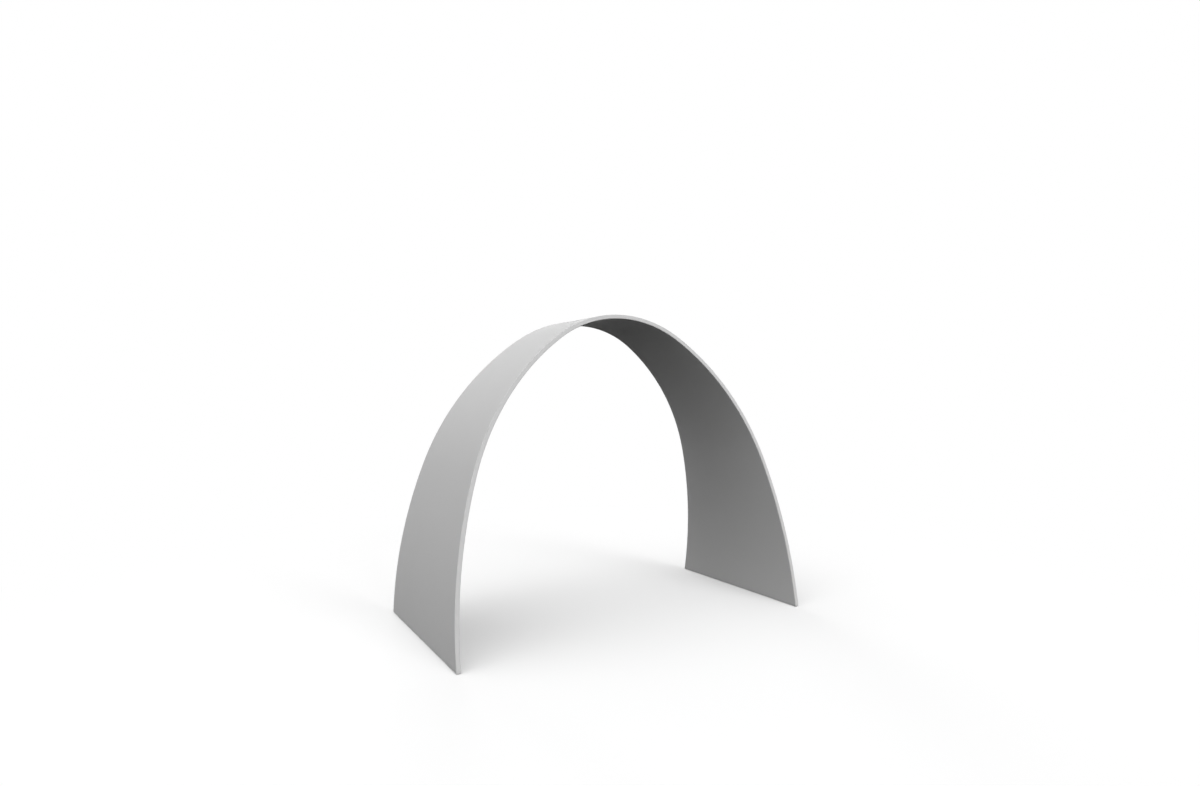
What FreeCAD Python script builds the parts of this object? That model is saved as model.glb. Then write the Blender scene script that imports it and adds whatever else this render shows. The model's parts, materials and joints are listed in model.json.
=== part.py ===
import FreeCAD, Part
import math
import os

os.makedirs("parts", exist_ok=True)

# Free-standing arch of stretch fabric over a knock-down frame of square aluminium tube.
# X runs across the arch, Y from front to back and Z up. The origin is the middle of the footprint.
# Two planar frames lean towards each other. Each one is a leg, a shoulder, a crown, a shoulder and a leg.

# Outline over the fabric, in the plane of the front edge
overall_width = 3000.0
base_depth = 1556.0
lean_angle = 9.88
leg_radius = 3850.0
leg_centre_height = 73.0
leg_end_angle = 18.1
shoulder_end_angle = 55.3
crown_radius_share = 0.488

# Square tube of the frames and of the bars between them
tube_size = 30.0
tube_wall = 1.5
tube_corner = 4.0
section_gap = 0.2

# Fabric cover
cover_thickness = 0.4
cover_gap = 0.4

# Joiners and stubs that slide into the tubes
joiner_fit = 0.2
joiner_wall = 2.0
joiner_reach = 72.0
stub_length = 64.0
bar_end_gap = 0.5
shoulder_bar_share = 0.5

# Foot elbows
elbow_height = 44.0
elbow_spigot = 66.0

# Snap buttons and their springs
button_radius = 4.0
button_clearance = 0.08
button_proud = 3.0
button_dome = 1.5
button_inset = 36.0
flange_radius = 5.6
flange_thickness = 1.0
spring_gap = 0.1
spring_thickness = 0.5
spring_width = 8.0
spring_length = 28.0
spring_tail = 5.0

# Rivets
rivet_radius = 2.4
rivet_head_radius = 4.5
rivet_head_height = 1.2
rivet_tail = 1.0
rivet_clearance = 0.05

# Foot glides and their screws
glide_radius = 13.0
glide_height = 3.8
glide_boss_radius = 6.0
glide_recess = 2.8
eyelet_gap = 1.0
screw_radius = 2.4
screw_head_radius = 4.6
screw_head_height = 2.0
screw_depth = 14.0
screw_clearance = 0.1
cover_lift = 4.2

# Zips under the base bars
zip_foot_gap = 48.0
zip_tape_width = 11.0
zip_slit = 1.0
coil_width = 2.2
coil_thickness = 1.6
slider_length = 9.0
slider_width = 7.0
slider_plate = 0.8
slider_post_width = 0.8
slider_post_length = 3.0
slider_clearance = 0.1
slider_end_gap = 4.0
bar_clearance = 0.2
pin_radius = 0.45
pin_clearance = 0.05
knuckle_radius = 0.9
knuckle_length = 3.0
ear_thickness = 0.8
ear_gap = 0.2
pull_length = 18.0
pull_width = 5.0
pull_thickness = 0.9

# Length by which a cutting tool runs past what it cuts
overrun = 10.0

# Values worked out from the sizes above
V = FreeCAD.Vector
ORIGIN = V(0, 0, 0)
X_AXIS = V(1, 0, 0)
Y_AXIS = V(0, 1, 0)
Z_AXIS = V(0, 0, 1)
lean = math.radians(lean_angle)
UP = V(0, math.sin(lean), math.cos(lean))
OUT = V(0, -math.cos(lean), math.sin(lean))
half_tube = tube_size / 2
edge_offset = half_tube + cover_gap + cover_thickness
joiner_size = tube_size - 2 * tube_wall - 2 * joiner_fit
bore_corner = tube_corner - tube_wall
cover_middle = cover_lift + cover_thickness / 2
bar_bottom = cover_middle + coil_thickness / 2 + slider_clearance + slider_plate + bar_clearance
bar_height = bar_bottom + half_tube


def outline_arcs():
    """Centre and radius of the three tangent arcs of the right half of the outline."""
    th1 = math.radians(leg_end_angle)
    th2 = math.radians(shoulder_end_angle)
    leg_x = overall_width / 2 - leg_radius
    leg_end_x = leg_x + leg_radius * math.cos(th1)
    shoulder_radius = leg_end_x / (math.cos(th1) - (1 - crown_radius_share) * math.cos(th2))
    crown_radius = shoulder_radius * crown_radius_share
    shoulder_x = leg_end_x - shoulder_radius * math.cos(th1)
    shoulder_q = leg_centre_height + (leg_radius - shoulder_radius) * math.sin(th1)
    crown_q = shoulder_q + (shoulder_radius - crown_radius) * math.sin(th2)
    return {
        "leg": (leg_x, leg_centre_height, leg_radius),
        "shoulder": (shoulder_x, shoulder_q, shoulder_radius),
        "crown": (0, crown_q, crown_radius),
    }


ARCS = outline_arcs()


def at(x, q, w):
    """Point of the front frame: across x, up the lean q, and w outwards from the tube's centre."""
    return V(0, -base_depth / 2, 0) + X_AXIS * x + UP * q + OUT * (w - edge_offset)


def slope_height(z, w):
    """How far up the lean a point at height z lies, in the plane w outwards from the centre."""
    return (z - (w - edge_offset) * math.sin(lean)) / math.cos(lean)


def angle_at(arc, inset, z, w):
    """Angle in degrees at which an arc, moved inwards by inset, reaches height z."""
    _, centre_q, radius = ARCS[arc]
    return math.degrees(math.asin((slope_height(z, w) - centre_q) / (radius - inset)))


def turn(arc, length):
    """Angle in degrees that a length takes along the tube's centre line."""
    return math.degrees(length / (ARCS[arc][2] - edge_offset))


def on_arc(arc, angle, inset, w, side):
    """Point on an arc of the outline, moved inwards by inset. The side is 1 right and -1 left."""
    centre_x, centre_q, radius = ARCS[arc]
    a = math.radians(angle)
    reach = radius - inset
    return at(side * (centre_x + reach * math.cos(a)), centre_q + reach * math.sin(a), w)


def radial(angle):
    """Unit vector in the leaning plane that points out of the arch."""
    a = math.radians(angle)
    return X_AXIS * math.cos(a) + UP * math.sin(a)


def tangent(angle):
    """Unit vector in the leaning plane that runs up the right half of the arch."""
    a = math.radians(angle)
    return X_AXIS * -math.sin(a) + UP * math.cos(a)


def square_face(centre, across, along, size, corner):
    """Rounded square in the plane of two unit vectors."""
    half = size / 2
    straight = half - max(corner, 0)
    diagonal = straight + max(corner, 0) * math.sqrt(0.5)
    edges = []
    for _ in range(4):
        start = centre + across * half - along * straight
        end = centre + across * half + along * straight
        turned = centre + across * straight + along * half
        middle = centre + (across + along) * diagonal
        edges.append(Part.LineSegment(start, end).toShape())
        if corner > 0:
            edges.append(Part.Arc(end, middle, turned).toShape())
        across, along = along, across * -1
    return Part.Face(Part.Wire(edges))


def square_ring(centre, across, along, size, corner, wall):
    """Section of a square tube."""
    outer = square_face(centre, across, along, size, corner)
    inner = square_face(centre, across, along, size - 2 * wall, corner - wall)
    return outer.cut(inner).Faces[0]


def bent(arc, start, end, size, corner, wall):
    """Square tube, or a solid bar where wall is zero, along an arc of the front right frame."""
    centre = on_arc(arc, start, edge_offset, 0, 1)
    if wall:
        face = square_ring(centre, radial(start), OUT, size, corner, wall)
    else:
        face = square_face(centre, radial(start), OUT, size, corner)
    centre_x, centre_q, _ = ARCS[arc]
    return face.revolve(at(centre_x, centre_q, 0), OUT, end - start)


def joined(shapes):
    """One clean solid of several that meet or overlap."""
    return shapes[0].multiFuse(shapes[1:]).removeSplitter()


def flip_x(shape):
    """Left copy of a right piece."""
    return shape.mirror(ORIGIN, X_AXIS)


def flip_y(shape):
    """Back copy of a front piece."""
    return shape.mirror(ORIGIN, Y_AXIS)


def four(shape):
    """Copies of a front right piece for the four quarters of the arch."""
    return {
        "front_right": shape,
        "front_left": flip_x(shape),
        "back_right": flip_y(shape),
        "back_left": flip_x(flip_y(shape)),
    }


def placed(shape, origin, x_dir, y_dir, z_dir):
    """Shape moved from its own axes to an origin and three unit vectors."""
    matrix = FreeCAD.Matrix(
        x_dir.x, y_dir.x, z_dir.x, origin.x,
        x_dir.y, y_dir.y, z_dir.y, origin.y,
        x_dir.z, y_dir.z, z_dir.z, origin.z,
        0, 0, 0, 1,
    )
    moved = shape.copy()
    moved.Placement = FreeCAD.Placement(matrix)
    return moved


def between_frames(w):
    """Solid that fills the space between the two leaning planes w outwards from the tubes' centres."""
    half = base_depth / 2 + (w - edge_offset) / math.cos(lean)
    low = -overrun
    top = ARCS["crown"][1] + ARCS["crown"][2]
    low_y = half - low * math.tan(lean)
    top_y = half - top * math.tan(lean)
    corners = [V(0, -low_y, low), V(0, low_y, low), V(0, top_y, top), V(0, -top_y, top)]
    face = Part.Face(Part.makePolygon(corners + corners[:1]))
    face.translate(X_AXIS * -overall_width)
    return face.extrude(X_AXIS * (2 * overall_width))


def front_y(z, w):
    """Y of the leaning front plane at a height."""
    return z * math.tan(lean) - base_depth / 2 - (w - edge_offset) / math.cos(lean)


# Places along the frames

leg_start = angle_at("leg", edge_offset, bar_bottom + elbow_height, 0)
elbow_foot = angle_at("leg", edge_offset, -overrun, 0)
shoulder_bar_angle = leg_end_angle + (shoulder_end_angle - leg_end_angle) * shoulder_bar_share
foot_centre = on_arc("leg", angle_at("leg", edge_offset, bar_bottom, 0), edge_offset, 0, 1)
bar_x = on_arc("leg", angle_at("leg", edge_offset, bar_height, 0), edge_offset, 0, 1).x
foot_x_cover = on_arc("leg", angle_at("leg", edge_offset, cover_lift, edge_offset), edge_offset, 0, 1).x
inner_face_w = -half_tube
zip_length = 2 * (-foot_centre.y - glide_radius - zip_foot_gap)


# Snap button, drawn with its axis on Z and the face of the outer tube at Z zero

wall_stack = tube_wall + joiner_fit + joiner_wall
flange_top = -wall_stack - button_clearance
flange_bottom = flange_top - flange_thickness


def button_shape():
    """Domed pin with the flange that keeps it behind the joiner's wall."""
    shank = Part.makeCylinder(button_radius, button_proud - flange_bottom, V(0, 0, flange_bottom))
    rim = [e for e in shank.Edges if abs(e.BoundBox.ZMin - button_proud) < button_clearance]
    shank = shank.makeFillet(button_dome, rim)
    flange = Part.makeCylinder(flange_radius, flange_thickness, V(0, 0, flange_bottom))
    return joined([shank, flange])


def button_hole():
    """Cutter for the hole that the button stands in, through both walls."""
    depth = wall_stack + button_clearance + joiner_wall
    return Part.makeCylinder(button_radius + button_clearance, depth + button_proud, V(0, 0, -depth))


def spring_shape():
    """Strip bent into a V, from behind the flange to the joiner's far wall."""
    top = flange_bottom - spring_gap
    low = -tube_size + tube_wall + joiner_fit + joiner_wall + spring_gap
    middle = (top + low) / 2
    profile = [
        V(spring_tail, 0, top),
        V(spring_tail, 0, top - spring_thickness),
        V(-spring_length + 2 * spring_thickness, 0, middle),
        V(spring_tail, 0, low + spring_thickness),
        V(spring_tail, 0, low),
        V(-spring_length, 0, middle - spring_thickness),
        V(-spring_length, 0, middle + spring_thickness),
    ]
    face = Part.Face(Part.makePolygon(profile + profile[:1]))
    face.translate(Y_AXIS * (-spring_width / 2))
    return face.extrude(Y_AXIS * spring_width)


# Rivet, drawn like the button

def rivet_shape():
    """Blind rivet with a round head on the tube's face."""
    depth = wall_stack + rivet_tail
    head = Part.makeCylinder(rivet_head_radius, rivet_head_height)
    rim = [e for e in head.Edges if e.BoundBox.ZMin > rivet_head_height / 2]
    head = head.makeFillet(rivet_head_height / 2, rim)
    return joined([head, Part.makeCylinder(rivet_radius, depth, V(0, 0, -depth))])


def rivet_hole():
    """Cutter for a rivet's hole."""
    depth = wall_stack + 2 * rivet_tail
    return Part.makeCylinder(rivet_radius + rivet_clearance, depth + rivet_tail, V(0, 0, -depth))


def on_frame(shape, arc, angle):
    """Shape set on the face of the front right tube that looks at the back frame."""
    spot = on_arc(arc, angle, edge_offset, inner_face_w, 1)
    return placed(shape, spot, tangent(angle), radial(angle), OUT * -1)


# Bars between the frames

def bar_axes(angle):
    """Outward and upward unit vectors of a bar's section, square to Y."""
    a = math.radians(angle)
    outward = V(math.cos(lean) * math.cos(a), 0, math.sin(a))
    outward.normalize()
    return outward, V(-outward.z, 0, outward.x)


def bar_centre(arc, angle):
    """Middle of the bar that meets the frames at an angle, at Y zero."""
    spot = on_arc(arc, angle, edge_offset, 0, 1)
    return V(spot.x, 0, spot.z)


def bar_tube(centre, outward, upward):
    """Square tube along Y, mitred at both frames."""
    face = square_ring(centre, outward, upward, tube_size, tube_corner, tube_wall)
    face.translate(Y_AXIS * (-base_depth / 2))
    tube = face.extrude(Y_AXIS * base_depth)
    return tube.common(between_frames(inner_face_w - bar_end_gap))


def bar_stub(centre, outward, upward):
    """Hollow spigot on the front frame's face that the bar slides over."""
    face = square_ring(centre, outward, upward, joiner_size, bore_corner, joiner_wall)
    face.translate(Y_AXIS * (-base_depth / 2))
    reach = front_y(centre.z, inner_face_w) + stub_length + base_depth / 2
    return face.extrude(Y_AXIS * reach).common(between_frames(inner_face_w))


def on_bar(shape, centre, outward, upward):
    """Shape set on the upper face of a bar, over the front stub."""
    y = front_y(centre.z, inner_face_w) + button_inset
    spot = V(centre.x, y, centre.z) + upward * half_tube
    return placed(shape, spot, Y_AXIS * -1, outward, upward)


# Feet

def elbow_shape():
    """Cast corner: a block under the leg, a spigot up into the leg and one back into the base bar."""
    block = bent("leg", elbow_foot, leg_start, tube_size, tube_corner, 0)
    up_spigot = bent("leg", leg_start, leg_start + turn("leg", elbow_spigot), joiner_size, bore_corner, 0)
    centre = V(bar_x, foot_centre.y, bar_height)
    reach = front_y(bar_height, inner_face_w) + stub_length - foot_centre.y
    bar_spigot = square_face(centre, X_AXIS, Z_AXIS, joiner_size, bore_corner).extrude(Y_AXIS * reach)
    body = joined([block, up_spigot, bar_spigot])
    floor = Part.makeBox(base_depth, base_depth, 2 * overrun)
    floor.translate(V(bar_x - base_depth / 2, -base_depth, bar_bottom - 2 * overrun))
    body = body.cut(floor)
    hollow_size = joiner_size - 2 * joiner_wall
    hollow = square_face(centre, X_AXIS, Z_AXIS, hollow_size, bore_corner - joiner_wall)
    hollow = hollow.extrude(Y_AXIS * (reach + overrun))
    body = body.cut(hollow.common(between_frames(inner_face_w)))
    screw_hole = Part.makeCylinder(screw_radius + screw_clearance / 2, screw_depth + screw_clearance)
    screw_hole.translate(V(foot_centre.x, foot_centre.y, bar_bottom))
    body = body.cut(screw_hole)
    return body.cut(on_frame(rivet_hole(), "leg", leg_start + turn("leg", elbow_spigot / 2)))


def glide_shape():
    """Round foot with a boss that passes through the cover's eyelet."""
    disc = Part.makeCylinder(glide_radius, glide_height)
    boss = Part.makeCylinder(glide_boss_radius, bar_bottom)
    recess = Part.makeCylinder(screw_head_radius + screw_clearance, glide_recess)
    bore = Part.makeCylinder(screw_radius + screw_clearance, bar_bottom)
    body = joined([disc, boss]).cut(recess.fuse(bore))
    body.translate(V(foot_centre.x, foot_centre.y, 0))
    return body


def screw_shape():
    """Pan-head screw that holds a glide under its elbow."""
    head_bottom = glide_recess - screw_head_height
    head = Part.makeCylinder(screw_head_radius, screw_head_height, V(0, 0, head_bottom))
    shank = Part.makeCylinder(screw_radius, bar_bottom + screw_depth - glide_recess, V(0, 0, glide_recess))
    body = joined([head, shank])
    body.translate(V(foot_centre.x, foot_centre.y, 0))
    return body


# Cover

def arch_edges(inset, w):
    """The outline's five arcs from the right foot to the left one, moved inwards, in one plane."""
    foot = angle_at("leg", inset, cover_lift, w)
    spans = [
        ("leg", foot, leg_end_angle, 1),
        ("shoulder", leg_end_angle, shoulder_end_angle, 1),
        ("crown", shoulder_end_angle, 180 - shoulder_end_angle, 1),
        ("shoulder", shoulder_end_angle, leg_end_angle, -1),
        ("leg", leg_end_angle, foot, -1),
    ]
    edges = []
    for arc, start, end, side in spans:
        points = [on_arc(arc, a, inset, w, side) for a in (start, (start + end) / 2, end)]
        edges.append(Part.Arc(points[0], points[1], points[2]).toShape())
    return edges


def strip_wire(outer_inset, inner_inset, w):
    """Closed outline of a strip that follows the arch in one plane."""
    outer = arch_edges(outer_inset, w)
    inner = arch_edges(inner_inset, w)
    left = Part.LineSegment(outer[-1].Vertexes[-1].Point, inner[-1].Vertexes[-1].Point).toShape()
    right = Part.LineSegment(inner[0].Vertexes[0].Point, outer[0].Vertexes[0].Point).toShape()
    return Part.Wire(outer + [left] + inner[::-1] + [right])


def sheet_between(wire_a, wire_b):
    """Thin solid ruled from one strip outline to another."""
    return Part.makeLoft([wire_a, wire_b], True, True)


def base_flaps(inset_side):
    """Flaps under the base bars that one panel turns in to reach the zip. The side is 1 outer, -1 inner."""
    reach = edge_offset - cover_thickness / 2
    sheet = Part.makeBox(reach, base_depth, cover_thickness)
    sheet.translate(V(0 if inset_side > 0 else -reach, -base_depth / 2, 0))
    window = Part.makeBox(2 * zip_tape_width, zip_length, cover_thickness)
    window.translate(V(-zip_tape_width, -zip_length / 2, 0))
    sheet = sheet.cut(window)
    sheet.translate(V(foot_x_cover, 0, cover_lift))
    for y in (foot_centre.y, -foot_centre.y):
        eyelet = Part.makeCylinder(glide_boss_radius + eyelet_gap, 2 * cover_lift)
        eyelet.translate(V(foot_centre.x, y, 0))
        sheet = sheet.cut(eyelet)
    sheet = sheet.common(between_frames(edge_offset - cover_thickness))
    return [sheet, flip_x(sheet)]


def cover_outer():
    """Outer panel, ruled from the front edge to the back edge, with its base flaps."""
    wire = strip_wire(0, cover_thickness, edge_offset)
    return joined([sheet_between(wire, flip_y(wire))] + base_flaps(1))


def cover_inner():
    """Inner panel: it follows the tubes' inner faces and runs straight between them."""
    outer_inset = 2 * edge_offset - cover_thickness
    edge_wire = strip_wire(outer_inset, 2 * edge_offset, edge_offset)
    tube_wire = strip_wire(outer_inset, 2 * edge_offset, inner_face_w)
    facet = sheet_between(edge_wire, tube_wire)
    middle = sheet_between(tube_wire, flip_y(tube_wire))
    return joined([facet, middle, flip_y(facet)] + base_flaps(-1))


def cover_edge():
    """Flat front edge band between the two panels."""
    wire = strip_wire(cover_thickness, 2 * edge_offset - cover_thickness, edge_offset - cover_thickness)
    return Part.Face(wire).extrude(OUT * cover_thickness)


# Zip, drawn at the right foot

slider_bottom = cover_middle - coil_thickness / 2 - slider_clearance - slider_plate
pin_height = slider_bottom - slider_clearance - knuckle_radius
slider_y = (slider_length - zip_length) / 2 + slider_end_gap


def zip_tapes():
    """Two tapes, each with its coil along the slit."""
    coil = Part.makeBox(coil_width, zip_length, coil_thickness)
    coil.translate(V(zip_slit / 2, -zip_length / 2, cover_middle - coil_thickness / 2))
    tape = Part.makeBox(zip_tape_width - zip_slit / 2, zip_length, cover_thickness)
    tape.translate(V(zip_slit / 2, -zip_length / 2, cover_lift))
    half = joined([coil, tape])
    tapes = Part.makeCompound([half, flip_x(half)])
    tapes.translate(X_AXIS * foot_x_cover)
    return tapes


def slider_shape():
    """Two plates joined by a post in the slit, with a pin in two ears below."""
    plate = Part.makeBox(slider_width, slider_length, slider_plate)
    plate.translate(V(-slider_width / 2, -slider_length / 2, 0))
    top = plate.copy()
    top.translate(Z_AXIS * (cover_middle + coil_thickness / 2 + slider_clearance))
    plate.translate(Z_AXIS * slider_bottom)
    height = coil_thickness + 2 * slider_clearance + 2 * slider_plate
    post = Part.makeBox(slider_post_width, slider_post_length, height)
    post.translate(V(-slider_post_width / 2, -slider_length / 2, slider_bottom))
    parts = [plate, top, post]
    drop = slider_bottom - pin_height
    inner = knuckle_length / 2 + ear_gap
    for x in (-inner - ear_thickness, inner):
        cheek = Part.makeCylinder(knuckle_radius, ear_thickness, V(x, 0, pin_height), X_AXIS)
        web = Part.makeBox(ear_thickness, 2 * knuckle_radius, drop)
        web.translate(V(x, -knuckle_radius, pin_height))
        parts += [cheek, web]
    span = 2 * (inner + ear_thickness)
    parts.append(Part.makeCylinder(pin_radius, span, V(-span / 2, 0, pin_height), X_AXIS))
    body = joined(parts)
    body.translate(V(foot_x_cover, slider_y, 0))
    return body


def pull_shape():
    """Flat tab that turns on the slider's pin."""
    start = V(-knuckle_length / 2, 0, pin_height)
    knuckle = Part.makeCylinder(knuckle_radius, knuckle_length, start, X_AXIS)
    tab = Part.makeBox(pull_width, pull_length, pull_thickness)
    neck = Part.makeBox(knuckle_length, 3 * knuckle_radius, pull_thickness)
    neck.translate(V(-knuckle_length / 2, 0, pin_height - pull_thickness / 2))
    tab = tab.makeFillet(pull_width / 4, [e for e in tab.Edges if e.BoundBox.ZLength > pull_thickness / 2])
    tab.translate(V(-pull_width / 2, 2 * knuckle_radius, pin_height - pull_thickness / 2))
    bore = Part.makeCylinder(pin_radius + pin_clearance, knuckle_length, start, X_AXIS)
    body = joined([knuckle, neck, tab]).cut(bore)
    body.translate(V(foot_x_cover, slider_y, 0))
    return body


# Nodes

nodes = {}
joiners = []
rivets = []
stubs = []
frame_springs = []
bar_springs = []

leg = bent("leg", leg_start, leg_end_angle - turn("leg", section_gap), tube_size, tube_corner, tube_wall)
shoulder = bent("shoulder", leg_end_angle, shoulder_end_angle - turn("shoulder", section_gap), tube_size,
                tube_corner, tube_wall)
crown = bent("crown", shoulder_end_angle, 180 - shoulder_end_angle, tube_size, tube_corner, tube_wall)

# The elbow is riveted into the leg
elbow_rivet_angle = leg_start + turn("leg", elbow_spigot / 2)
leg = leg.cut(on_frame(rivet_hole(), "leg", elbow_rivet_angle))
rivets.append(on_frame(rivet_shape(), "leg", elbow_rivet_angle))

# A joiner is riveted into the lower tube and snaps into the upper one
tubes = {"leg": leg, "shoulder": shoulder, "crown": crown}
frame_joints = [
    ("leg", "shoulder", leg_end_angle, "_leg_button"),
    ("shoulder", "crown", shoulder_end_angle, "_crown_button"),
]
for lower, upper, joint_angle, button_name in frame_joints:
    rivet_angle = joint_angle - turn(lower, joiner_reach / 2)
    snap_angle = joint_angle + turn(upper, button_inset)
    start = joint_angle - turn(lower, joiner_reach)
    end = joint_angle + turn(upper, joiner_reach)
    joiner = joined([
        bent(lower, start, joint_angle, joiner_size, bore_corner, joiner_wall),
        bent(upper, joint_angle, end, joiner_size, bore_corner, joiner_wall),
    ])
    rivet_cut = on_frame(rivet_hole(), lower, rivet_angle)
    button_cut = on_frame(button_hole(), upper, snap_angle)
    joiners.append(joiner.cut(rivet_cut).cut(button_cut))
    rivets.append(on_frame(rivet_shape(), lower, rivet_angle))
    frame_springs.append(on_frame(spring_shape(), upper, snap_angle))
    tubes[lower] = tubes[lower].cut(rivet_cut)
    tubes[upper] = tubes[upper].cut(button_cut)
    if upper == "crown":
        tubes[upper] = tubes[upper].cut(flip_x(button_cut))
    for place, shape in four(on_frame(button_shape(), upper, snap_angle)).items():
        nodes[place + button_name] = shape

for place, shape in four(tubes["leg"]).items():
    nodes[place + "_leg"] = shape
for place, shape in four(tubes["shoulder"]).items():
    nodes[place + "_shoulder"] = shape
nodes["front_crown"] = tubes["crown"]
nodes["back_crown"] = flip_y(tubes["crown"])

# Base bars and shoulder bars, right and left, and the crown bar
outward, upward = bar_axes(shoulder_bar_angle)
bar_places = {
    "base_bar": (V(bar_x, 0, bar_height), X_AXIS, Z_AXIS),
    "shoulder_bar": (bar_centre("shoulder", shoulder_bar_angle), outward, upward),
    "crown_bar": (bar_centre("crown", 90), Z_AXIS, X_AXIS * -1),
}
elbow = elbow_shape()
for name, (centre, outward, upward) in bar_places.items():
    hole = on_bar(button_hole(), centre, outward, upward)
    bar = bar_tube(centre, outward, upward).cut(hole).cut(flip_y(hole))
    button = on_bar(button_shape(), centre, outward, upward)
    spring = on_bar(spring_shape(), centre, outward, upward)
    if name == "base_bar":
        elbow = elbow.cut(hole)
    else:
        stub = bar_stub(centre, outward, upward).cut(hole)
        stubs.append(stub)
    if name == "crown_bar":
        nodes[name] = bar
        nodes["front_crown_bar_button"] = button
        nodes["back_crown_bar_button"] = flip_y(button)
        bar_springs += [spring, flip_y(spring)]
    else:
        nodes["right_" + name] = bar
        nodes["left_" + name] = flip_x(bar)
        for place, shape in four(button).items():
            nodes[place + "_" + name + "_button"] = shape
        bar_springs += four(spring).values()

for place, shape in four(elbow).items():
    nodes[place + "_elbow"] = shape

# Groups of like pieces
front_joiners = joiners + [flip_x(shape) for shape in joiners]
front_stubs = stubs + [flip_x(stubs[0])]
all_rivets = []
for shape in rivets:
    all_rivets += four(shape).values()
all_frame_springs = []
for shape in frame_springs:
    all_frame_springs += four(shape).values()
nodes["front_joiners"] = Part.makeCompound(front_joiners)
nodes["back_joiners"] = Part.makeCompound([flip_y(shape) for shape in front_joiners])
nodes["front_bar_stubs"] = Part.makeCompound(front_stubs)
nodes["back_bar_stubs"] = Part.makeCompound([flip_y(shape) for shape in front_stubs])
nodes["rivets"] = Part.makeCompound(all_rivets)
nodes["frame_button_springs"] = Part.makeCompound(all_frame_springs)
nodes["bar_button_springs"] = Part.makeCompound(bar_springs)
nodes["foot_glides"] = Part.makeCompound(list(four(glide_shape()).values()))
nodes["glide_screws"] = Part.makeCompound(list(four(screw_shape()).values()))

# Cover and zips
nodes["cover_outer"] = cover_outer()
nodes["cover_inner"] = cover_inner()
nodes["cover_front_edge"] = cover_edge()
nodes["cover_back_edge"] = flip_y(cover_edge())
tapes = zip_tapes()
slider = slider_shape()
pull = pull_shape()
nodes["right_zip"] = tapes
nodes["left_zip"] = flip_x(tapes)
nodes["right_zip_slider"] = slider
nodes["left_zip_slider"] = flip_x(slider)
nodes["right_zip_pull"] = pull
nodes["left_zip_pull"] = flip_x(pull)

for name, shape in nodes.items():
    shape.exportStep("parts/" + name + ".step")
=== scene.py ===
import json
import math

import bmesh
import bpy
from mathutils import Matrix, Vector


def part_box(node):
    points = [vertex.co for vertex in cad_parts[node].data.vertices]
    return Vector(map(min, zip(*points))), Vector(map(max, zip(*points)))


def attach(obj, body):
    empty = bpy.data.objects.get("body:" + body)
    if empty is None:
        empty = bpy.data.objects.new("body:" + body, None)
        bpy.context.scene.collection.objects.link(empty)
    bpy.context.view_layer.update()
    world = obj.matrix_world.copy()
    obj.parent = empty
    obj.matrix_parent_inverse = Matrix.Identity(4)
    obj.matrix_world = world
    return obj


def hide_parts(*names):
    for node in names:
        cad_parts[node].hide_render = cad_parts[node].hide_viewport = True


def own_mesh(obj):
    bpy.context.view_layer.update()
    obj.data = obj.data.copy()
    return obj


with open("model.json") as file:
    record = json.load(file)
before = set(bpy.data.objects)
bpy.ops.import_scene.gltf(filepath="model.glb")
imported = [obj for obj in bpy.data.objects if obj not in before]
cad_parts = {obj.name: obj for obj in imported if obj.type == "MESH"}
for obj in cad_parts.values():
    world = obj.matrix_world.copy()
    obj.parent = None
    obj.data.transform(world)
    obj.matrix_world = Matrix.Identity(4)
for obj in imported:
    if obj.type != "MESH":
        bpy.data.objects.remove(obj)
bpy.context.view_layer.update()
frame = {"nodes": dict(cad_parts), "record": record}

# Sizes are in metres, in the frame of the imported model. The outline repeats the part's driving sizes.
OUTER_LOW, OUTER_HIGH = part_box("cover_outer")
CROWN_BAR_LOW, CROWN_BAR_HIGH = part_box("crown_bar")
LEAN = math.radians(9.88)
LIFT = OUTER_LOW.z
WIDTH = OUTER_HIGH.x - OUTER_LOW.x
DEPTH = OUTER_HIGH.y - OUTER_LOW.y + 2 * LIFT * math.tan(LEAN)
LEG_RADIUS = 3.85
LEG_CENTRE_HEIGHT = 0.073
LEG_END = math.radians(18.1)
SHOULDER_END = math.radians(55.3)
CROWN_RADIUS_SHARE = 0.488
SHOULDER_BAR_SHARE = 0.5
TUBE = CROWN_BAR_HIGH.x - CROWN_BAR_LOW.x
COVER_LAYER = 0.0008
EDGE_OFFSET = TUBE / 2 + COVER_LAYER
FULL_INSET = 2 * EDGE_OFFSET

# The cloth: its thickness, the radius of its corners, the depth and half width of its seams, and how far it
# is drawn in between two bars
FABRIC = 0.0005
CORNER = 0.0034
SEAM_TUCK = 0.0011
SEAM_HALF = 0.0002
OUTER_SAG = 0.0022
INNER_SAG = 0.003
SAG_POWER = 1.5
MERGE_DISTANCE = FABRIC / 10
SHARP_ANGLE = math.radians(50)

# How finely the cloth is divided along the outline, across it and round its edges
STATIONS = 240
DEPTH_STEPS = 36
ROUND_STEPS = 5

# Share of the outline to either side over which its direction is measured
DIRECTION_STEP = 0.25 / STATIONS

# Topstitching: the inset is from the edge to the row, and the sink is how deep a thread lies in the cloth
STITCH_INSET = 0.0065
STITCH_PITCH = 0.006
STITCH_LENGTH = 0.0036
STITCH_RADIUS = 0.00028
STITCH_SINK = 0.00012
STITCH_SIDES = 5
STITCH_TAPER_SHARE = 0.2

# Base flaps: the eyelets' radius, and the half width of the window round the zip's teeth
GLIDE_RADIUS = 0.013
GLIDE_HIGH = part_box("foot_glides")[1]
FOOT_X = GLIDE_HIGH.x - GLIDE_RADIUS
FOOT_Y = GLIDE_HIGH.y - GLIDE_RADIUS
EYELET = 0.007
EYELET_STEPS = 12
EYELET_STITCH = 0.002
EYELET_STITCHES = 36
WINDOW_HALF = 0.0065
WINDOW_HEM = 0.002

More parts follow.
